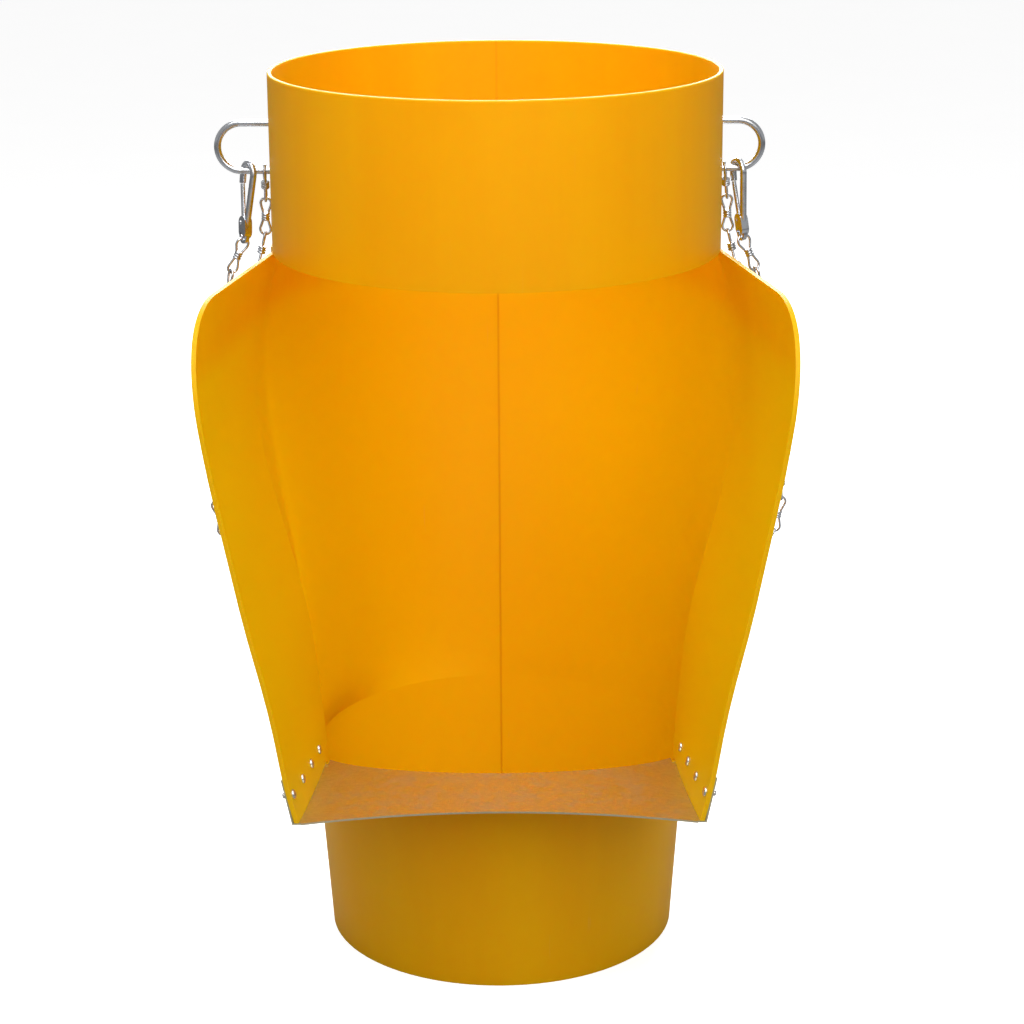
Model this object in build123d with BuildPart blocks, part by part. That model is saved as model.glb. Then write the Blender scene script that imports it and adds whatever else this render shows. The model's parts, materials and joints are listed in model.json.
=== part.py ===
"""Side-entry hopper section of a hanging rubble chute.

A plastic sheet is rolled into a cone and slit up the front.  Below the collar the two flaps are
opened outwards into wings, and a galvanised lip plate riveted between them catches the rubble.
The section hangs from two U-bars.  A knotted chain hangs in a loop from the lower leg of each,
and the snap hook on its free end is clipped back on to the same leg.

+Z is up, the open front faces -Y, and the origin is the centre of the outlet's bottom edge.
"""
from build123d import *
from math import acos, asin, atan2, cos, degrees, hypot, radians, sin, sqrt, tan
import os

# The plastic sheet
SHEET = 5.0
HEIGHT = 1030.0
COLLAR_RADIUS = 255.0
COLLAR_BOTTOM = 828.0
OUTLET_RADIUS = 206.0
SEAT_HEIGHT = 226.0
SEAT_RADIUS = 221.8
RIM_SLOPE = 14.6
SEAM_WIDTH = 1.6
SEAM_DEPTH = 0.8
BEAD_WIDTH = 9.0
BEAD_HEIGHT = 1.2
RIM_ROUND = 1.8
WELD_STOP = 3.0

# The wings, from the side: lower rear corner, lower front corner, and the rounded top corner
WING_REAR = 75.0
WING_FRONT = 352.0
WING_FRONT_HEIGHT = 268.6
WING_TOP_FRONT = 372.0
WING_CORNER = 115.0

# Levels of the opened wall: height, rear radius, side half-width, fold x, fold depth,
# edge x, edge depth, crease angle
LEVELS = [
    (226.0, 221.8, 221.8, 208.73, 75.0, 219.0, 385.0, 22.0),
    (300.0, 226.0, 226.4, 213.0, 76.0, 230.0, 385.0, 21.0),
    (363.0, 229.6, 231.0, 219.0, 75.0, 241.0, 385.0, 19.5),
    (421.0, 232.8, 236.6, 228.0, 73.0, 252.0, 385.0, 17.0),
    (483.0, 236.2, 244.4, 242.0, 73.0, 266.0, 385.0, 13.0),
    (573.0, 241.0, 257.0, 264.0, 76.0, 283.0, 385.0, 6.5),
    (660.0, 245.5, 267.0, 278.0, 80.0, 299.0, 385.0, 2.0),
    (740.0, 250.0, 268.6, 278.0, 70.0, 311.0, 385.0, 0.0),
    (790.0, 253.0, 262.0, 267.0, 52.0, 319.0, 385.0, 0.0),
    (828.0, 255.0, 255.0, 254.5, 28.0, 326.0, 385.0, 0.0),
]

# The lip plate and its rivets
PLATE = 2.0
PLATE_REAR = 80.0
PLATE_LIFT = 3.8
PLATE_SLOPE = 15.6
PLATE_BOW = 27.0
PLATE_SIDE = 213.5
HEM_RADIUS = 215.6
HEM_DROP = 14.0
REAR_EDGE_POINTS = 13
FLANGE = 50.0
FLANGE_REAR = 112.0
FLANGE_FRONT = 350.0
FLANGE_GAP = 0.5
WING_LIFT = 0.3
STRIP_REAR_LAP = 14.0
STRIP_FRONT_LAP = 3.0
RIVET_COUNT = 4
RIVET_FIRST = 145.0
RIVET_LAST = 340.0
RIVET_RISE = 31.0
RIVET_HEAD = 5.6
RIVET_SHANK = 2.4
RIVET_CLEARANCE = 0.05
HEAD_LIFT = 0.1
SET_GAP = 1.7
HEAD_HEIGHT = 3.2
SET_RADIUS = 3.1
SET_LENGTH = 4.0

# The U-bars and what holds them inside the collar
ROD = 4.0
LEG_LOW = 916.0
LEG_HIGH = 970.0
LEG_LENGTH = 54.0
LEG_CLEARANCE = 0.25
BACKING = 3.0
BACKING_WIDTH = 44.0
BACKING_MARGIN = 22.0
NUT_ACROSS = 13.0
NUT_HEIGHT = 6.5
WASHER_RADIUS = 8.0
WASHER = 1.6
THREAD_CLEARANCE = 0.05
LEG_FIT = 0.05
LEG_CHAMFER = 0.8

# The snap hooks, in a frame with the U-bar's leg at its origin
HOOK_WIRE = 3.75
ARCH_RADIUS = 12.0
ARCH_DROP = 3.8
NOSE = -16.0
SPINE_LEAN = 7.5
SPINE_FOOT = -66.0
BOSS_TOP = (0.0, -60.0)
BOSS_FOOT = (1.5, -69.5)
BOSS_RADIUS = 8.0
BOSS_THICKNESS = 9.0
EYE_CENTRE = -75.5
EYE_RADIUS = 8.4
EYE_HOLE = 4.6
EYE_THICKNESS = 4.2
EYE_NECK = 8.0
EYE_CLEARANCE = 1.3
LEG_EYE_GAP = 1.0
GATE_PIVOT = (-3.5, -60.0)
GATE_TIP = (-12.0, -17.0)
GATE_WIRE = 2.5
GATE_TONGUE = 2.4
TONGUE_RADIUS = 3.6
TONGUE_TOP = (-5.7, -51.0)
GATE_NECK = 7.0
GATE_SLOT = 5.6
SLOT_RADIUS = 4.6
SLOT_WIDTH = 13.2
SLOT_SHIFT = 2.0
PIN_RADIUS = 1.5
PIN_FIT = 0.03
GATE_FIT = 0.05
PIN_HEAD = 2.6
PIN_HEAD_HEIGHT = 1.2
PIN_HEAD_TAPER = 35.0
COIL_RADIUS = 2.6
COIL_WIRE = 0.5
COIL_OFFSET = 2.0

# The knotted chains
WIRE = 1.5
LINK_EYE = 6.0
END_EYE = 7.5
LINK_PITCH = 40.0
KNOT_RADIUS = 3.9
KNOT_WRAP = 3.0
KNOT_BULGE = 0.55
LINK_REACH = 1.7
LINK_COUNT = 22
TWISTED_LINKS = 6
PITCH_SPREAD = 0.6
PITCH_TOLERANCE = 0.01
PATH_STEPS = 3000

# The chain's route as points out from the axis, behind it, and up: the strand that comes down
# from the hook, the foot of the loop above its lowest point, and the strand that goes back up
HOOK_LEAN_OUT = 17.0
OUTER_STRAND = [(319, 4, 700), (327, 8, 600)]
LOOP_FOOT = [(325, 12, 34), (305, 16, 0), (285, 20, 34)]
INNER_STRAND = [(284, 23, 600), (285, 24, 700), (280, 24, 780), (265, 24, 843), (263, 18, 881)]

# Each side: sign of X, how far the U-bar stands out, where the hook hangs on the leg, the hook's
# turn about the vertical and its lean, where the chain's fixed end is, and the loop's lowest point
SIDES = {
    "left": (-1, 63.0, 280.0, -57.0, 5.5, 261.8, 446.9),
    "right": (1, 49.0, 273.7, -66.0, 4.5, 258.8, 447.8),
}


def section(level, inset):
    """Points and end tangent of one wall line, at a level, inset into the sheet."""
    _, rear, side, fold_x, fold_y, edge_x, edge_y, crease = level
    along = Vector(edge_x - fold_x, fold_y - edge_y).normalized()
    tangent = along.rotate(Axis.Z, -crease)
    wing_in = Vector(along.Y, -along.X)
    bend_in = Vector(tangent.Y, -tangent.X)
    fold = Vector(fold_x, -fold_y) + (wing_in + bend_in) * (inset / (1 + wing_in.dot(bend_in)))
    edge = Vector(edge_x, -edge_y) + wing_in * inset
    half = radians(45)
    flank = Vector((side - inset) * cos(half), (rear - inset) * sin(half))
    return edge, fold, Vector(side - inset, 0), flank, Vector(0, rear - inset), tangent


def mirrored(point):
    """The same point on the left-hand side."""
    return Vector(-point.X, point.Y, point.Z)


def round_fold(edge, fold, radius):
    """Where the straight line of a wing meets the cone's circle."""
    along = (edge - fold).normalized()
    reach = edge.dot(along)
    return edge - along * (reach - sqrt(reach ** 2 - edge.length ** 2 + radius ** 2))


def wall_curve(level, inset):
    """Edges of one wall line from the right-hand wing edge round the rear to the left."""
    edge, fold, side, flank, rear, tangent = section(level, inset)
    if level is LEVELS[0]:
        fold = round_fold(edge, fold, rear.Y)
        ThreePointArc(fold, rear, mirrored(fold))
    else:
        bend = [fold, side, flank, rear, mirrored(flank), mirrored(side), mirrored(fold)]
        Spline(*bend, tangents=(-tangent, mirrored(tangent)))
    Line(edge, fold)
    Line(mirrored(fold), mirrored(edge))
    return edge


def rim_height(depth):
    """Height of the slanting rim of the closed cone at a depth in front of the axis."""
    return SEAT_HEIGHT + (depth - WING_REAR) * tan(radians(RIM_SLOPE))


def plate_height(depth):
    """Height of the lip plate's rear edge, over the rim, at a depth in front of the axis."""
    return SEAT_HEIGHT + PLATE_LIFT + (depth - WING_REAR) * tan(radians(PLATE_SLOPE))


def side_height(depth):
    """Height of the lip plate's sides, under the wings, at a depth in front of the axis."""
    rear_height = plate_height(PLATE_REAR)
    share = (depth - PLATE_REAR) / (WING_FRONT - PLATE_REAR)
    return rear_height + (WING_FRONT_HEIGHT - rear_height) * share


with BuildPart() as flared_wall:
    for level in LEVELS:
        with BuildSketch(Plane.XY.offset(level[0])):
            with BuildLine():
                outer = wall_curve(level, 0)
                inner = wall_curve(level, SHEET)
                Line(outer, inner)
                Line(mirrored(outer), mirrored(inner))
            make_face()
    loft()
    with BuildSketch(Plane.YZ) as wing_outline:
        with BuildLine():
            Polyline(
                (COLLAR_RADIUS + BEAD_HEIGHT, SEAT_HEIGHT),
                (-WING_REAR, SEAT_HEIGHT),
                (-PLATE_REAR, side_height(PLATE_REAR) + WING_LIFT),
                (-WING_FRONT, side_height(WING_FRONT) + WING_LIFT),
                (-WING_TOP_FRONT, COLLAR_BOTTOM),
                (COLLAR_RADIUS + BEAD_HEIGHT, COLLAR_BOTTOM),
                close=True,
            )
        make_face()
        fillet(wing_outline.vertices().sort_by(Axis.Y)[-2:].sort_by(Axis.X)[0], WING_CORNER)
    extrude(amount=2 * COLLAR_RADIUS, both=True, mode=Mode.INTERSECT)

os.makedirs("parts", exist_ok=True)

# The closed cone under the wings.  Its front rises to a slanting rim under the lip plate.
CONE_TAPER = (SEAT_RADIUS - OUTLET_RADIUS) / SEAT_HEIGHT
RIM_TOP = 275.0
RIM_RADIUS = OUTLET_RADIUS + CONE_TAPER * RIM_TOP


with BuildPart() as outlet_cone:
    with BuildSketch(Plane.XZ):
        with BuildLine():
            Polyline(
                (OUTLET_RADIUS - SHEET, 0),
                (OUTLET_RADIUS, 0),
                (RIM_RADIUS, RIM_TOP),
                (RIM_RADIUS - SHEET, RIM_TOP),
                close=True,
            )
        make_face()
    revolve(axis=Axis.Z)
    with BuildSketch(Plane.YZ):
        with BuildLine():
            Polyline(
                (2 * COLLAR_RADIUS, SEAT_HEIGHT),
                (-WING_REAR, SEAT_HEIGHT),
                (-WING_FRONT, rim_height(WING_FRONT)),
                (-WING_FRONT, 2 * RIM_TOP),
                (2 * COLLAR_RADIUS, 2 * RIM_TOP),
                close=True,
            )
        make_face()
    extrude(amount=2 * COLLAR_RADIUS, both=True, mode=Mode.SUBTRACT)

# The sheet's joint runs straight down the back: a fine groove inside and a weld bead outside.
SEAM_LINE = [(OUTLET_RADIUS, 0)] + [(level[1], level[0]) for level in LEVELS]


def seam_strip(low, high, width):
    """A strip of the back wall between two depths from its outer face."""
    with BuildPart() as strip:
        with BuildSketch(Plane.YZ):
            with BuildLine():
                near = [(radius + low, height) for radius, height in SEAM_LINE]
                far = [(radius + high, height) for radius, height in reversed(SEAM_LINE)]
                Polyline(*near, *far, close=True)
            make_face()
        extrude(amount=width / 2, both=True)
    return strip.part


body_shell = flared_wall.part + outlet_cone.part
body_shell += seam_strip(-1.0, BEAD_HEIGHT, BEAD_WIDTH)
body_shell -= seam_strip(-SHEET - 1.0, SEAM_DEPTH - SHEET, SEAM_WIDTH)

# The collar, with its four leg holes and a broad butt weld at the back
HOLE = ROD + LEG_CLEARANCE
with BuildPart() as top_collar:
    with BuildSketch(Plane.XY.offset(COLLAR_BOTTOM)):
        Circle(COLLAR_RADIUS)
        Circle(COLLAR_RADIUS - SHEET, mode=Mode.SUBTRACT)
    extrude(amount=HEIGHT - COLLAR_BOTTOM)
    fillet(top_collar.edges().group_by(Axis.Z)[-1], RIM_ROUND)
    for leg_height in (LEG_LOW, LEG_HIGH):
        with BuildSketch(Plane.YZ):
            with Locations((0, leg_height)):
                Circle(HOLE)
        extrude(amount=2 * COLLAR_RADIUS, both=True, mode=Mode.SUBTRACT)
    with BuildSketch(Plane.XY.offset(COLLAR_BOTTOM)):
        with Locations((0, COLLAR_RADIUS)):
            Rectangle(BEAD_WIDTH * 2, 2 * BEAD_HEIGHT)
        Circle(COLLAR_RADIUS - SHEET / 2, mode=Mode.SUBTRACT)
    extrude(amount=HEIGHT - COLLAR_BOTTOM - WELD_STOP)


# The lip plate: a bowed sheet from the cone's rim to the front, with a flange up each wing.
def between(low, high, share):
    """A value part of the way from one to another."""
    return low + (high - low) * share


def wing_face(depth, height, inner=False):
    """Half-width of the right-hand wing's face at a depth in front of the axis and a height."""
    across = Axis((0, -depth, height), (1, 0, 0))
    hits = [point.X for point, _ in flared_wall.part.find_intersection_points(across)]
    return min(x for x in hits if x > 0) if inner else max(hits)


def rear_edge_points(count):
    """Points along the plate's rear edge, which follows the slanting rim."""
    limit = degrees(acos(PLATE_REAR / HEM_RADIUS))
    points = []
    for step in range(count):
        angle = radians(between(-limit, limit, step / (count - 1)))
        depth = HEM_RADIUS * cos(angle)
        points.append((HEM_RADIUS * sin(angle), -depth, plate_height(depth)))
    return points


rear_edge = Spline(*rear_edge_points(REAR_EDGE_POINTS))
front_edge = ThreePointArc(
    (-PLATE_SIDE, -WING_FRONT, WING_FRONT_HEIGHT),
    (0, PLATE_BOW - WING_FRONT, WING_FRONT_HEIGHT + 1),
    (PLATE_SIDE, -WING_FRONT, WING_FRONT_HEIGHT),
)
plate_face = Face.make_surface_from_curves(rear_edge.edge(), front_edge.edge())
if plate_face.normal_at().Z > 0:
    plate_face = -plate_face
lip_plate = Solid.thicken(plate_face, PLATE)

with BuildPart() as hem:
    with BuildSketch(Plane.XY.offset(SEAT_HEIGHT - HEM_DROP)):
        Circle(HEM_RADIUS)
        Circle(HEM_RADIUS - PLATE, mode=Mode.SUBTRACT)
    extrude(amount=RIM_TOP - SEAT_HEIGHT + HEM_DROP)
    with BuildSketch(Plane.YZ):
        with BuildLine():
            top_rear = plate_height(PLATE_REAR) - PLATE / 2
            top_front = plate_height(HEM_RADIUS) - PLATE / 2
            Polyline(
                (-PLATE_REAR, top_rear - HEM_DROP),
                (-PLATE_REAR, top_rear),
                (-HEM_RADIUS, top_front),
                (-HEM_RADIUS, top_front - HEM_DROP),
                close=True,
            )
        make_face()
    extrude(amount=2 * COLLAR_RADIUS, both=True, mode=Mode.INTERSECT)
lip_plate = lip_plate + hem.part


def flange_corner(depth, rise, out):
    """A point beside the right-hand wing's outer face, above or below the plate's side."""
    height = side_height(depth)
    width = wing_face(depth, height + max(rise, 2 * WING_LIFT))
    return Vector(width + out, -depth, height + rise)


def side_flange():
    """The strip under the right-hand wing's edge and the flange that stands up outside it."""
    rear_low = flange_corner(FLANGE_REAR, -PLATE, FLANGE_GAP)
    front_low = flange_corner(FLANGE_FRONT, -PLATE, FLANGE_GAP)
    rear_high = flange_corner(FLANGE_REAR, FLANGE, FLANGE_GAP)
    front_high = flange_corner(FLANGE_FRONT, FLANGE, FLANGE_GAP)
    sheet = Face.make_surface_from_curves(
        Edge.make_line(rear_low, front_low), Edge.make_line(rear_high, front_high)
    )
    if sheet.normal_at().X < 0:
        sheet = -sheet
    upright = Solid.thicken(sheet, PLATE)
    slope = (side_height(FLANGE_FRONT) - side_height(FLANGE_REAR)) / (FLANGE_FRONT - FLANGE_REAR)
    tilt = Vector(0, slope, 1).normalized()
    with BuildPart() as strip:
        base = Plane(
            origin=(0, -FLANGE_REAR, side_height(FLANGE_REAR)), x_dir=(1, 0, 0), z_dir=tilt
        )
        reach = (FLANGE_FRONT - FLANGE_REAR) / tilt.Z
        rear_out = rear_low.X + PLATE / 2
        front_out = front_low.X + PLATE / 2
        with BuildSketch(base):
            with BuildLine():
                Polyline(
                    (PLATE_SIDE - STRIP_REAR_LAP, 0),
                    (rear_out, 0),
                    (front_out, -reach),
                    (PLATE_SIDE - STRIP_FRONT_LAP, -reach),
                    close=True,
                )
            make_face()
        extrude(amount=-PLATE)
    return upright + strip.part


right_flange = side_flange()
lip_plate = lip_plate + right_flange + mirror(right_flange, about=Plane.YZ)

# Blind rivets: a domed head inside each wing and the set end outside the flange
GRIP = SHEET + FLANGE_GAP + PLATE


def rivet(radius, head):
    """One rivet on +Z, with its head's underside at the origin, or only its shank."""
    with BuildPart() as piece:
        with BuildSketch(Plane.XZ):
            with BuildLine():
                if head:
                    crown = (0, HEAD_HEIGHT)
                    tail = -GRIP - SET_LENGTH
                    shoulder = -GRIP - SET_GAP
                    Line(crown, (0, tail))
                    Line((0, tail), (radius, tail))
                    ThreePointArc(
                        (radius, tail), (SET_RADIUS, (tail + shoulder) / 2), (SET_RADIUS, shoulder)
                    )
                    Line((SET_RADIUS, shoulder), (radius, shoulder))
                    Line((radius, shoulder), (radius, HEAD_LIFT))
                    Line((radius, HEAD_LIFT), (RIVET_HEAD, HEAD_LIFT))
                    Spline((RIVET_HEAD, HEAD_LIFT), crown, tangents=((0, 1), (-1, 0)))
                else:
                    past = SET_LENGTH
                    Polyline(
                        (0, past), (radius, past), (radius, -GRIP - past), (0, -GRIP - past), close=True
                    )
            make_face()
        revolve(axis=Axis.Z)
    return piece.part


def rivet_places():
    """Locations of the right-hand rivets: on the wing's inner face, +Z pointing inwards."""
    places = []
    for step in range(RIVET_COUNT):
        depth = between(RIVET_FIRST, RIVET_LAST, step / (RIVET_COUNT - 1))
        height = side_height(depth) + RIVET_RISE
        here = Vector(wing_face(depth, height, True), -depth, height)
        ahead = Vector(wing_face(depth + 5, height, True), -depth - 5, height) - here
        above = Vector(wing_face(depth, height + 5, True), -depth, height + 5) - here
        places.append(Plane(origin=here, z_dir=ahead.cross(above)).location)
    return places


hole_tool = rivet(RIVET_SHANK + RIVET_CLEARANCE, False)
set_rivet = rivet(RIVET_SHANK, True)
rivet_groups = {"left": [], "right": []}
for place in rivet_places():
    hole = place * hole_tool
    for tool in (hole, mirror(hole, about=Plane.YZ)):
        lip_plate = lip_plate - tool
        body_shell = body_shell - tool
    rivet_groups["right"].append(place * set_rivet)
    rivet_groups["left"].append(mirror(place * set_rivet, about=Plane.YZ))

pieces = {
    "body_shell": body_shell,
    "top_collar": top_collar.part,
    "lip_plate": lip_plate,
    "left_lip_rivets": Compound(children=rivet_groups["left"]),
    "right_lip_rivets": Compound(children=rivet_groups["right"]),
}


# The U-bars and the plates, washers and nuts inside the collar
def u_bar(side, reach):
    """A round bar bent into a U, its legs lying along X."""
    bend = (LEG_HIGH - LEG_LOW) / 2
    turn = COLLAR_RADIUS + reach - ROD - bend
    start = side * (turn - LEG_LENGTH)
    with BuildPart() as bar:
        with BuildLine(Plane.XZ):
            Line((start, LEG_LOW), (side * turn, LEG_LOW))
            ThreePointArc(
                (side * turn, LEG_LOW),
                (side * (turn + bend), LEG_LOW + bend),
                (side * turn, LEG_HIGH),
            )
            Line((side * turn, LEG_HIGH), (start, LEG_HIGH))
        with BuildSketch(Plane(origin=(start, 0, LEG_LOW), z_dir=(side, 0, 0))):
            Circle(ROD)
        sweep()
        chamfer(bar.faces().filter_by(Axis.X).edges(), LEG_CHAMFER)
    return bar.part


def backing_plate(side):
    """A curved steel plate behind the collar wall that spreads the U-bar's load."""
    with BuildPart() as plate:
        low = LEG_LOW - BACKING_MARGIN
        with BuildSketch(Plane.XY.offset(low)):
            Circle(COLLAR_RADIUS - SHEET)
            Circle(COLLAR_RADIUS - SHEET - BACKING, mode=Mode.SUBTRACT)
            with Locations((side * COLLAR_RADIUS, 0)):
                Rectangle(COLLAR_RADIUS, BACKING_WIDTH, mode=Mode.INTERSECT)
        extrude(amount=LEG_HIGH - LEG_LOW + 2 * BACKING_MARGIN)
        with BuildSketch(Plane.YZ):
            with Locations((0, LEG_LOW), (0, LEG_HIGH)):
                Circle(HOLE)
        extrude(amount=2 * COLLAR_RADIUS, both=True, mode=Mode.SUBTRACT)
    return plate.part


def leg_stack(side, profile, thickness, face):
    """Two equal pieces on the U-bar's legs, facing inwards from a half-width."""
    with BuildPart() as stack:
        plane = Plane(origin=(side * face, 0, 0), x_dir=(0, 1, 0), z_dir=(-side, 0, 0))
        with BuildSketch(plane):
            for leg_height in (LEG_LOW, LEG_HIGH):
                with Locations(plane.to_local_coords(Vector(side * face, 0, leg_height))):
                    profile()
        extrude(amount=thickness)
    return stack.part


def washer_profile():
    """A flat washer."""
    Circle(WASHER_RADIUS)
    Circle(HOLE, mode=Mode.SUBTRACT)


def nut_profile():
    """A hexagon nut on the leg's thread."""
    RegularPolygon(NUT_ACROSS / 2, 6, major_radius=False)
    Circle(ROD + THREAD_CLEARANCE, mode=Mode.SUBTRACT)


WASHER_FACE = sqrt((COLLAR_RADIUS - SHEET - BACKING) ** 2 - WASHER_RADIUS ** 2) - LEG_FIT
for name, (side, reach, *_) in SIDES.items():
    pieces[name + "_u_bar"] = u_bar(side, reach)
    pieces[name + "_backing_plate"] = backing_plate(side)
    pieces[name + "_washers"] = leg_stack(side, washer_profile, WASHER, WASHER_FACE)
    pieces[name + "_nuts"] = leg_stack(side, nut_profile, NUT_HEIGHT, WASHER_FACE - WASHER)


# The snap hook, drawn in the XZ plane with the U-bar's leg at the origin
def hook_body():
    """The forged hook: nose, arch, spine, and a boss with the gate's slot and the chain's eye."""
    with BuildPart() as hook:
        with BuildLine(Plane.XZ):
            Line((-ARCH_RADIUS, NOSE), (-ARCH_RADIUS, -ARCH_DROP))
            lean = radians(SPINE_LEAN)
            shoulder = (ARCH_RADIUS * cos(lean), -ARCH_DROP - ARCH_RADIUS * sin(lean))
            ThreePointArc((-ARCH_RADIUS, -ARCH_DROP), (0, ARCH_RADIUS - ARCH_DROP), shoulder)
            fall = shoulder[1] - SPINE_FOOT
            Line(shoulder, (shoulder[0] - fall * tan(lean), SPINE_FOOT))
        with BuildSketch(Plane(origin=(-ARCH_RADIUS, 0, NOSE), z_dir=(0, 0, 1))):
            Circle(HOOK_WIRE)
        sweep()
        with BuildSketch(Plane.XZ):
            with Locations(BOSS_TOP, BOSS_FOOT):
                Circle(BOSS_RADIUS)
            make_hull()
        extrude(amount=BOSS_THICKNESS / 2, both=True)
        with BuildSketch(Plane.XZ):
            with Locations((0, EYE_CENTRE), (0, EYE_CENTRE + EYE_NECK)):
                Circle(EYE_RADIUS)
            make_hull()
        extrude(amount=EYE_THICKNESS / 2, both=True)
        with BuildSketch(Plane.XZ):
            with Locations((0, EYE_CENTRE)):
                Circle(EYE_HOLE)
        extrude(amount=BOSS_THICKNESS, both=True, mode=Mode.SUBTRACT)
        with BuildSketch(Plane.XZ):
            with Locations(GATE_PIVOT):
                Circle(SLOT_RADIUS)
            with Locations((GATE_PIVOT[0] - SLOT_SHIFT, GATE_PIVOT[1] + BOSS_RADIUS)):
                Rectangle(SLOT_WIDTH, 2 * BOSS_RADIUS)
        extrude(amount=GATE_SLOT / 2, both=True, mode=Mode.SUBTRACT)
        with BuildSketch(Plane.XZ):
            with Locations(GATE_PIVOT):
                Circle(PIN_RADIUS + PIN_FIT)
        extrude(amount=BOSS_THICKNESS, both=True, mode=Mode.SUBTRACT)
    return hook.part


def hook_gate():
    """The gate: a round bar with a flat tongue on the pivot pin."""
    along = Vector(GATE_PIVOT[0] - GATE_TIP[0], 0, GATE_PIVOT[1] - GATE_TIP[1])
    with BuildPart() as gate:
        start = Vector(GATE_TIP[0], 0, GATE_TIP[1])
        with BuildSketch(Plane(origin=start, z_dir=along.normalized())):
            Circle(GATE_WIRE)
        extrude(amount=along.length - GATE_NECK)
        with BuildSketch(Plane.XZ):
            with Locations(GATE_PIVOT):
                Circle(TONGUE_RADIUS)
            with Locations(TONGUE_TOP):
                Circle(GATE_WIRE)
            make_hull()
            with Locations(GATE_PIVOT):
                Circle(PIN_RADIUS + GATE_FIT, mode=Mode.SUBTRACT)
        extrude(amount=GATE_TONGUE / 2, both=True)
    return gate.part


def gate_pin():
    """The rivet that the gate turns on, with a domed head at each end."""
    with BuildPart() as pin:
        with BuildSketch(Plane.XZ):
            with Locations(GATE_PIVOT):
                Circle(PIN_RADIUS)
        grip = BOSS_THICKNESS / 2 + GATE_FIT
        extrude(amount=grip, both=True)
        for end in (-1, 1):
            plane = Plane(origin=(GATE_PIVOT[0], end * grip, GATE_PIVOT[1]), z_dir=(0, end, 0))
            with BuildSketch(plane):
                Circle(PIN_HEAD)
            extrude(amount=PIN_HEAD_HEIGHT, taper=PIN_HEAD_TAPER)
    return pin.part


def gate_spring():
    """The two coils of the gate's torsion spring, one each side of the tongue."""
    coils = []
    for end in (-1, 1):
        place = Pos(GATE_PIVOT[0], end * COIL_OFFSET, GATE_PIVOT[1]) * Rot(90, 0, 0)
        coils.append(place * Torus(COIL_RADIUS, COIL_WIRE))
    return Compound(children=coils)


# The knotted chain
def link_half(eye, centre):
    """Half a link along +X: an eye and the two wires that run back to the knot."""
    distance = hypot(centre, WIRE)
    swing = asin(eye / distance) - atan2(WIRE, centre)
    touch = sqrt(distance ** 2 - eye ** 2)
    tangent_x = touch * cos(swing)
    tangent_y = WIRE + touch * sin(swing)
    with BuildPart() as half:
        with BuildLine():
            Line((0, WIRE), (tangent_x, tangent_y))
            ThreePointArc((tangent_x, tangent_y), (centre + eye, 0), (tangent_x, -tangent_y))
            Line((tangent_x, -tangent_y), (0, -WIRE))
        with BuildSketch(Plane(origin=(0, WIRE, 0), z_dir=(cos(swing), sin(swing), 0))):
            Circle(WIRE)
        sweep()
    return half.part


def knot():
    """The three wraps of wire round a link's waist, as one ribbed sleeve along X."""
    with BuildPart() as sleeve:
        with BuildSketch():
            with BuildLine():
                ends = [(-1.5 * KNOT_WRAP + KNOT_WRAP * turn, KNOT_RADIUS) for turn in range(4)]
                for left, right in zip(ends, ends[1:]):
                    RadiusArc(left, right, KNOT_WRAP * KNOT_BULGE)
                Polyline(ends[-1], (ends[-1][0], 0), (ends[0][0], 0), ends[0])
            make_face()
        revolve(axis=Axis.X)
    return sleeve.part


def knotted_link(near_eye, far_eye, far_reach):
    """A whole link along X: two eyes, joined at a knotted waist."""
    near_half = link_half(near_eye, LINK_PITCH / 2 + LINK_REACH - near_eye)
    far_half = link_half(far_eye, LINK_PITCH / 2 + far_reach - far_eye)
    return knot() + far_half + mirror(near_half, about=Plane.YZ)


def walk(points, pitch):
    """Joints one pitch apart along a close row of points."""
    joints = [points[0]]
    for point in points:
        if (point - joints[-1]).length >= pitch:
            joints.append(point)
    return joints


def chain_joints(start, end, bottom):
    """The ends of the links, from the hook's eye round the loop to the fixed end on the leg."""
    route = [start, (start.X + HOOK_LEAN_OUT, start.Y, start.Z - LINK_PITCH)]
    route += [(x, y, height) for x, y, height in OUTER_STRAND]
    route += [(x, y, bottom + rise) for x, y, rise in LOOP_FOOT]
    route += [(x, y, height) for x, y, height in INNER_STRAND]
    path = Spline(*route, end)
    points = [path @ (step / PATH_STEPS) for step in range(PATH_STEPS + 1)]
    low, high = LINK_PITCH - PITCH_SPREAD, LINK_PITCH + PITCH_SPREAD
    while high - low > PITCH_TOLERANCE:
        pitch = (low + high) / 2
        if len(walk(points, pitch)) > LINK_COUNT:
            low = pitch
        else:
            high = pitch
    print("chain pitch", low)
    return walk(points, low)[:LINK_COUNT] + [end]


def chain(side, start, end, bottom, twist):
    """The chain: knotted links, each turned a quarter turn from the one before it."""
    joints = chain_joints(start, end, bottom)
    first = knotted_link(END_EYE, LINK_EYE, LINK_REACH)
    plain = knotted_link(LINK_EYE, LINK_EYE, LINK_REACH)
    last = knotted_link(LINK_EYE, END_EYE, ROD + WIRE)
    links = []
    for count, (here, there) in enumerate(zip(joints, joints[1:])):
        along = Vector(side * (there.X - here.X), there.Y - here.Y, there.Z - here.Z).normalized()
        middle = (here + there) / 2
        across = along.cross(Vector(0, 1, 0)).normalized()
        normal = along.cross(across) if count % 2 == 0 else across
        normal = normal.rotate(Axis((0, 0, 0), along), twist * max(0, 1 - count / TWISTED_LINKS))
        place = Plane(origin=(side * middle.X, middle.Y, middle.Z), x_dir=along, z_dir=normal)
        piece = first if count == 0 else last if there is end else plain
        links.append(place.location * piece)
    return Compound(children=links)


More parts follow.
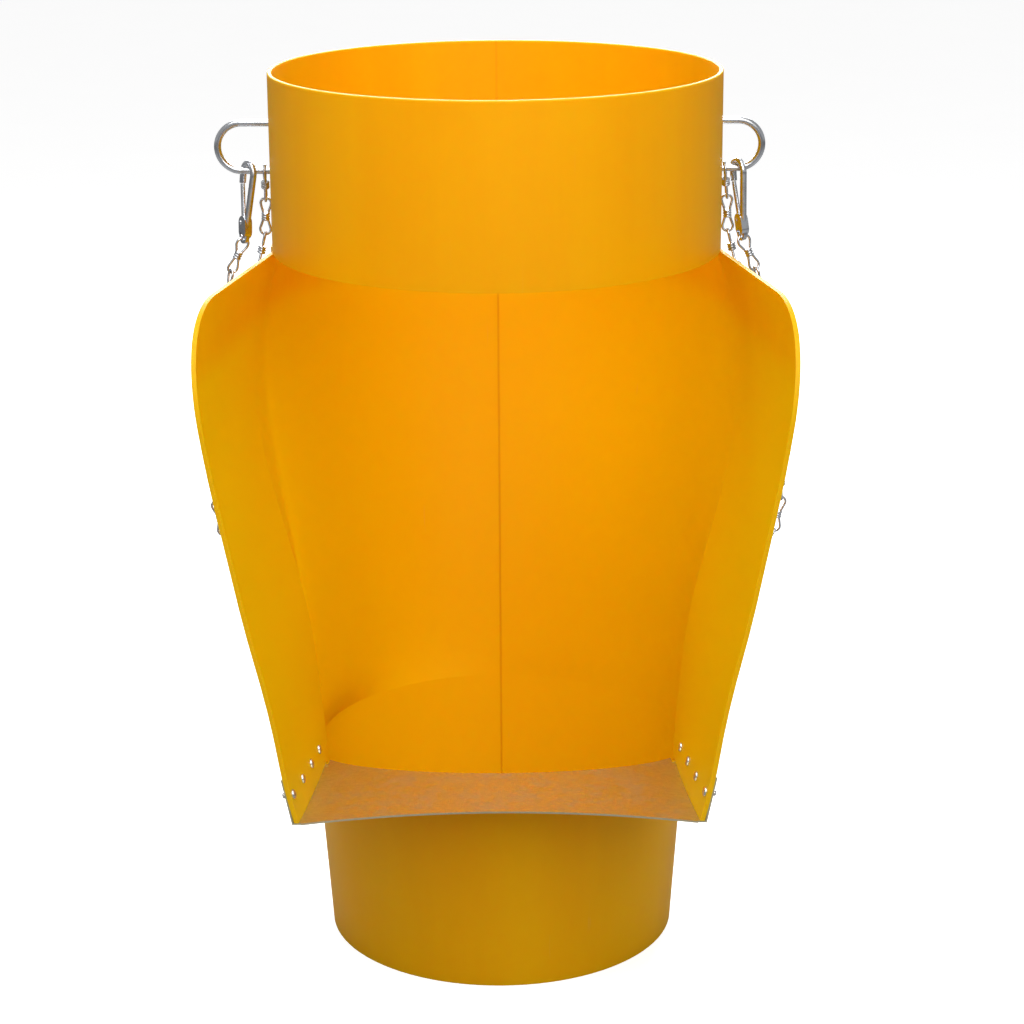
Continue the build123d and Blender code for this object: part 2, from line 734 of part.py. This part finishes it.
for name, (side, _, hook_x, turn, lean, end_x, bottom) in SIDES.items():
    hang = Pos(side * hook_x, 0, LEG_LOW) * Rot(0, -side * lean, 0) * Rot(0, 0, turn)
    pieces[name + "_hook_body"] = hang * hook_body()
    pieces[name + "_hook_gate"] = hang * hook_gate()
    pieces[name + "_gate_pin"] = hang * gate_pin()
    pieces[name + "_gate_spring"] = hang * gate_spring()
    eye = (hang * Pos(0, 0, EYE_CENTRE - EYE_HOLE + WIRE + EYE_CLEARANCE - LINK_REACH)).position
    pieces[name + "_chain"] = chain(
        side,
        Vector(abs(eye.X), eye.Y, eye.Z),
        Vector(end_x, 0, LEG_LOW + LEG_EYE_GAP),
        bottom,
        -(90 + turn),
    )
    pivot = (hang * Pos(GATE_PIVOT[0], 0, GATE_PIVOT[1])).position
    axis = (hang * Pos(0, 1, 0)).position - hang.position
    print(name, "gate pivot", pivot, "axis", axis)

for name, piece in pieces.items():
    piece.label = name
    export_step(piece, "parts/" + name + ".step")
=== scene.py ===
"""Looks of the side-entry hopper section of a rubble chute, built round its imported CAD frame."""
import json
from math import cos, radians, sin

import bpy
from mathutils import Matrix, Vector

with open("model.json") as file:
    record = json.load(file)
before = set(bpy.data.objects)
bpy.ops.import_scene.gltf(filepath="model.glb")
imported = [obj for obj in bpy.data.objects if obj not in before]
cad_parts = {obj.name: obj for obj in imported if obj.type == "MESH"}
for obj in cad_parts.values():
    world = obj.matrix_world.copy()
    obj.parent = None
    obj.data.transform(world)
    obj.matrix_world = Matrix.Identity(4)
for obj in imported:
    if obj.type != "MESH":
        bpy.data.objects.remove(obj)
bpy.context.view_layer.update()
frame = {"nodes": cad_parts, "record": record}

# Saturated yellow keeps its colour only through the plain transform
bpy.context.scene.view_settings.view_transform = "Standard"

# Camera: where it stands, in metres, how it looks, in degrees, and its lens, in millimetres
CAMERA_PLACE = (0.0156, -3.0, 1.4258)
CAMERA_DOWN = 16.97
CAMERA_ROLL = -0.36
CAMERA_LENS = 93.8
CAMERA_SENSOR = 36

# Light: azimuth to the right of the camera, elevation, distance, size and power
KEY = (12, 38, 3.5, 2.4, 54)
FILL = (-25, 70, 3.4, 2.6, 56)
BACK = (180, 30, 3.6, 2.5, 170)
LIT_HEIGHT = 0.5
SKY = 0.37

# Floor: its size in metres, its greys to the camera and to other rays, and its glow
FLOOR_SIZE = 30.0
FLOOR_GREY = (0.86, 0.86, 0.86, 1)
FLOOR_PALE = (0.90, 0.90, 0.90, 1)
FLOOR_BOUNCE = (0.30, 0.30, 0.30, 1)
FLOOR_GLOW = 0.62

# Colours, linear
WHITE = (1, 1, 1, 1)
YELLOW = (0.96, 0.475, 0.0005, 1)
YELLOW_DEEP = (0.92, 0.435, 0.0005, 1)
# The next colour is a painted highlight: paler yellow for the cut edges that face forward or up
YELLOW_EDGE_HIGHLIGHT = (0.97, 0.50, 0.003, 1)
YELLOW_SCUFF = (0.95, 0.50, 0.08, 1)
# The next colour is painted light: a lighter yellow for the hopper's inside than for its outside
YELLOW_HOPPER_LIT = (0.97, 0.585, 0.0005, 1)
YELLOW_SEAM = (0.68, 0.30, 0.001, 1)
GALVANISED = (0.74, 0.68, 0.46, 1)
GALVANISED_DULL = (0.54, 0.49, 0.34, 1)
ZINC = (0.76, 0.79, 0.84, 1)
ZINC_DULL = (0.52, 0.52, 0.52, 1)
RIVET = (0.80, 0.79, 0.77, 1)
SPRING = (0.40, 0.40, 0.42, 1)
SPRING_DULL = (0.20, 0.19, 0.18, 1)

# Places on the object, in metres: each pair is where a mask starts and where it is full
WING_FRONT = (0.30, 0.31)
COLLAR_START = (0.74, 0.78)
TOP_EDGE_START = (0.76, 0.78)
SEAM_HALF_WIDTH = (0.0007, 0.0019)
SEAM_BACK = (0.05, 0.06)
INWARD = (0.0, 0.02)
EDGE_TURN = (0.60, 0.75)

# How the noise is stretched along X, Y and Z
EVEN = (1, 1, 1)
UPRIGHT_STREAKS = (9, 9, 0.8)
UPRIGHT_SCRATCHES = (160, 160, 5)
UPRIGHT_WAVES = (4, 4, 1.4)

# The sheet's surface
# The next share is how strongly that painted light goes on the hopper's inside
HOPPER_LIGHT_SHARE = 0.85
SCUFF_SHARE = 0.35
SHEET_SPECULAR = 0.12
SHEET_GLOW_SHARE = 0.55
SHEET_GLOW_RADIUS = (1.0, 0.62, 0.01)
SHEET_GLOW_DEPTH = 0.009


def add(tree, kind, inputs=None, **settings):
    """A shader node with its settings, values and links."""
    made = tree.nodes.new(kind)
    for key, value in settings.items():
        setattr(made, key, value)
    for key, value in (inputs or {}).items():
        if isinstance(value, bpy.types.NodeSocket):
            tree.links.new(value, made.inputs[key])
        else:
            made.inputs[key].default_value = value
    return made


def started(name):
    """A new material's node tree, its output and the object's own coordinates."""
    material = bpy.data.materials.new(name)
    material.use_nodes = True
    tree = material.node_tree
    tree.nodes.clear()
    output = add(tree, "ShaderNodeOutputMaterial")
    coordinates = add(tree, "ShaderNodeTexCoord").outputs["Object"]
    return material, tree, output, coordinates


def finished(material, tree, output, inputs):
    """The material, with one main shader linked to its output."""
    shader = add(tree, "ShaderNodeBsdfPrincipled", inputs)
    tree.links.new(shader.outputs[0], output.inputs[0])
    return material


def noise(tree, coordinates, stretch, scale, detail, roughness=0.55):
    """Noise from 0 to 1 over stretched coordinates."""
    mapping = add(tree, "ShaderNodeMapping", {"Vector": coordinates, "Scale": stretch})
    texture = add(
        tree,
        "ShaderNodeTexNoise",
        {"Vector": mapping.outputs[0], "Scale": scale, "Detail": detail, "Roughness": roughness},
    )
    return texture.outputs["Fac"]


def between(tree, value, low, high):
    """The value's share of the way from low to high, clamped."""
    return add(
        tree,
        "ShaderNodeMapRange",
        {"Value": value, "From Min": low, "From Max": high},
        interpolation_type="SMOOTHSTEP",
    ).outputs[0]


def maths(tree, operation, first, second=0.0):
    """One arithmetic node."""
    return add(tree, "ShaderNodeMath", {0: first, 1: second}, operation=operation).outputs[0]


def scaled(tree, value, factor, offset):
    """The value times a factor, plus an offset."""
    return maths(tree, "ADD", maths(tree, "MULTIPLY", value, factor), offset)


def colour_mix(tree, share, first, second):
    """A colour part of the way from one to another."""
    made = add(tree, "ShaderNodeMixRGB", {"Fac": share, "Color1": first, "Color2": second})
    return made.outputs["Color"]


def bump(tree, height, strength, distance, under=None):
    """A normal from a height, on top of another normal if there is one."""
    inputs = {"Height": height, "Strength": strength, "Distance": distance}
    if under is not None:
        inputs["Normal"] = under
    return add(tree, "ShaderNodeBump", inputs).outputs["Normal"]


def split(tree, vector):
    """A vector's X, Y and Z."""
    return add(tree, "ShaderNodeSeparateXYZ", {0: vector}).outputs


def facing(tree):
    """The surface normal's X, Y and Z, in the object's own frame."""
    return split(tree, add(tree, "ShaderNodeTexCoord").outputs["Normal"])


def edge_highlight_mask(tree, coordinates):
    """1 on the sheet's cut edges that face forward or up, where a highlight is painted: the wings'
    fronts and tops, and the collar's rim.
    """
    place = split(tree, coordinates)
    normal = facing(tree)
    forward = maths(tree, "MULTIPLY", normal["Y"], -1.0)
    steep = between(tree, maths(tree, "MAXIMUM", forward, normal["Z"]), *EDGE_TURN)
    front = between(tree, maths(tree, "MULTIPLY", place["Y"], -1.0), *WING_FRONT)
    upper = between(tree, normal["Z"], *EDGE_TURN)
    top = maths(tree, "MULTIPLY", upper, between(tree, place["Z"], *TOP_EDGE_START))
    return maths(tree, "MAXIMUM", maths(tree, "MULTIPLY", steep, front), top)


def hopper_light_mask(tree, coordinates):
    """1 inside the hopper and the outlet, where light is painted as a lighter yellow, fading out
    below the collar.
    """
    place = split(tree, coordinates)
    normal = facing(tree)
    across = maths(tree, "MULTIPLY", place["X"], normal["X"])
    along = maths(tree, "MULTIPLY", place["Y"], normal["Y"])
    outward = maths(tree, "ADD", across, along)
    inward = between(tree, maths(tree, "MULTIPLY", outward, -1.0), *INWARD)
    above = between(tree, place["Z"], *COLLAR_START)
    return maths(tree, "MULTIPLY", inward, maths(tree, "SUBTRACT", 1.0, above))


def seam_mask(tree, coordinates):
    """1 along the sheet's joint, straight down the back."""
    place = split(tree, coordinates)
    aside = maths(tree, "ABSOLUTE", place["X"])
    line = maths(tree, "SUBTRACT", 1.0, between(tree, aside, *SEAM_HALF_WIDTH))
    return maths(tree, "MULTIPLY", line, between(tree, place["Y"], *SEAM_BACK))


def yellow_sheet():
    """Rolled polyethylene sheet: faint streaks, scuffs, a soft sheen, painted light inside the
    hopper and a painted highlight on the cut edges.
    """
    material, tree, output, coordinates = started("yellow_sheet")
    streaks = noise(tree, coordinates, UPRIGHT_STREAKS, 1.0, 6.0, 0.6)
    clouds = noise(tree, coordinates, EVEN, 3.2, 3.0)
    soft = maths(tree, "MULTIPLY", clouds, 0.4)
    tone = between(tree, scaled(tree, streaks, 0.6, soft), 0.38, 0.62)
    colour = colour_mix(tree, tone, YELLOW_DEEP, YELLOW)

    # Painted light: the hopper's inside is painted lighter than its outside. The joint down the
    # back is darker
    hopper = maths(tree, "MULTIPLY", hopper_light_mask(tree, coordinates), HOPPER_LIGHT_SHARE)
    colour = colour_mix(tree, hopper, colour, YELLOW_HOPPER_LIT)
    worn = scaled(tree, streaks, 0.5, 0.12)
    seam = maths(tree, "MULTIPLY", seam_mask(tree, coordinates), worn)
    colour = colour_mix(tree, seam, colour, YELLOW_SEAM)

    # Upright scratches, gathered in patches
    scratches = noise(tree, coordinates, UPRIGHT_SCRATCHES, 1.0, 3.0, 0.7)
    scratches = between(tree, scratches, 0.66, 0.74)
    patches = between(tree, noise(tree, coordinates, EVEN, 5.0, 2.0), 0.5, 0.68)
    scuffs = maths(tree, "MULTIPLY", scratches, patches)
    colour = colour_mix(tree, maths(tree, "MULTIPLY", scuffs, SCUFF_SHARE), colour, YELLOW_SCUFF)
    # Painted highlight: paler yellow on the cut edges that face forward or up
    colour = colour_mix(tree, edge_highlight_mask(tree, coordinates), colour, YELLOW_EDGE_HIGHLIGHT)

    # Slow waves in the sheet, with a fine peel on top
    waves = noise(tree, coordinates, UPRIGHT_WAVES, 1.0, 2.0)
    peel = noise(tree, coordinates, EVEN, 260.0, 2.0)
    normal = bump(tree, peel, 0.12, 0.0006, bump(tree, waves, 0.35, 0.004))
    rough = scaled(tree, clouds, 0.14, 0.36)
    inputs = {
        "Base Color": colour,
        "Roughness": scaled(tree, scuffs, 0.2, rough),
        "Normal": normal,
        "Specular IOR Level": SHEET_SPECULAR,
        "Subsurface Weight": SHEET_GLOW_SHARE,
        "Subsurface Radius": SHEET_GLOW_RADIUS,
        "Subsurface Scale": SHEET_GLOW_DEPTH,
    }
    return finished(material, tree, output, inputs)


def galvanised_sheet():
    """Hot-dip galvanised sheet: fine crystals and dull patches."""
    material, tree, output, coordinates = started("galvanised_sheet")
    crystals = add(
        tree,
        "ShaderNodeTexVoronoi",
        {"Vector": coordinates, "Scale": 260.0, "Randomness": 1.0},
        feature="F1",
    )
    grey = add(tree, "ShaderNodeSeparateColor", {0: crystals.outputs["Color"]}).outputs[0]
    clouds = noise(tree, coordinates, EVEN, 30.0, 6.0, 0.7)
    dull = between(tree, clouds, 0.42, 0.66)
    colour = colour_mix(tree, maths(tree, "MULTIPLY", grey, 0.35), GALVANISED, GALVANISED_DULL)
    colour = colour_mix(tree, maths(tree, "MULTIPLY", dull, 0.4), colour, GALVANISED_DULL)
    rough = scaled(tree, grey, 0.10, 0.34)
    inputs = {
        "Base Color": colour,
        "Metallic": 1.0,
        "Roughness": scaled(tree, dull, 0.10, rough),
        "Normal": bump(tree, clouds, 0.05, 0.0003),
    }
    return finished(material, tree, output, inputs)


def bright_metal(name, light, dark, smooth, rough, grain):
    """A plated or drawn metal: tonal patches, duller where they are dark, and a fine grain."""
    material, tree, output, coordinates = started(name)
    patches = between(tree, noise(tree, coordinates, EVEN, grain, 4.0, 0.6), 0.4, 0.7)
    fine = noise(tree, coordinates, EVEN, grain * 14, 2.0)
    inputs = {
        "Base Color": colour_mix(tree, patches, light, dark),
        "Metallic": 1.0,
        "Roughness": scaled(tree, patches, rough - smooth, smooth),
        "Normal": bump(tree, fine, 0.12, 0.0002),
    }
    return finished(material, tree, output, inputs)


def floor_paper():
    """White studio paper: bright to the camera, but a darker bounce on the object."""
    material, tree, output, coordinates = started("floor")
    speckle = noise(tree, coordinates, EVEN, 4.0, 3.0)
    paper = colour_mix(tree, speckle, FLOOR_GREY, FLOOR_PALE)
    seen = add(tree, "ShaderNodeLightPath").outputs["Is Camera Ray"]
    inputs = {
        "Base Color": colour_mix(tree, seen, FLOOR_BOUNCE, paper),
        "Roughness": 0.9,
        "Emission Color": WHITE,
        "Emission Strength": maths(tree, "MULTIPLY", seen, FLOOR_GLOW),
    }
    return finished(material, tree, output, inputs)


FINISHES = {
    "yellow_sheet": yellow_sheet(),
    "galvanised_sheet": galvanised_sheet(),
    "zinc_plate": bright_metal("zinc_plate", ZINC, ZINC_DULL, 0.16, 0.34, 60.0),
    "rivet_alloy": bright_metal("rivet_alloy", RIVET, ZINC_DULL, 0.22, 0.4, 180.0),
    "spring_steel": bright_metal("spring_steel", SPRING, SPRING_DULL, 0.25, 0.45, 200.0),
}

for part in frame["record"]["subparts"]:
    node = frame["nodes"][part["node"]]
    node.data.materials.clear()
    node.data.materials.append(FINISHES[part["material_slot"]])
    for polygon in node.data.polygons:
        polygon.material_index = 0


def area_light(name, azimuth, elevation, distance, size, power):
    """A square softbox that looks at the middle of the object."""
    light = bpy.data.lights.new(name, "AREA")
    light.size = size
    light.energy = power
    lamp = bpy.data.objects.new(name, light)
    target = Vector((0, 0, LIT_HEIGHT))
    level = Vector((sin(radians(azimuth)), -cos(radians(azimuth)), 0))
    away = level * cos(radians(elevation)) + Vector((0, 0, sin(radians(elevation))))
    place = target + away * distance
    turn = (target - place).to_track_quat("-Z", "Y")
    lamp.matrix_world = Matrix.Translation(place) @ turn.to_matrix().to_4x4()
    bpy.context.scene.collection.objects.link(lamp)


area_light("key", *KEY)
area_light("fill", *FILL)
area_light("back", *BACK)

world = bpy.data.worlds.new("studio")
world.use_nodes = True
world.node_tree.nodes["Background"].inputs["Color"].default_value = WHITE
world.node_tree.nodes["Background"].inputs["Strength"].default_value = SKY
bpy.context.scene.world = world

bpy.ops.mesh.primitive_plane_add(size=FLOOR_SIZE)
floor = bpy.context.object
floor.name = "floor"
floor.data.materials.append(floor_paper())

lens = bpy.data.cameras.new("camera")
lens.lens = CAMERA_LENS
lens.sensor_width = CAMERA_SENSOR
camera = bpy.data.objects.new("camera", lens)
tilt = Matrix.Rotation(radians(90 - CAMERA_DOWN), 4, "X")
roll = Matrix.Rotation(radians(CAMERA_ROLL), 4, "Z")
camera.matrix_world = Matrix.Translation(CAMERA_PLACE) @ tilt @ roll
bpy.context.scene.collection.objects.link(camera)
bpy.context.scene.camera = camera

bpy.context.view_layer.update()
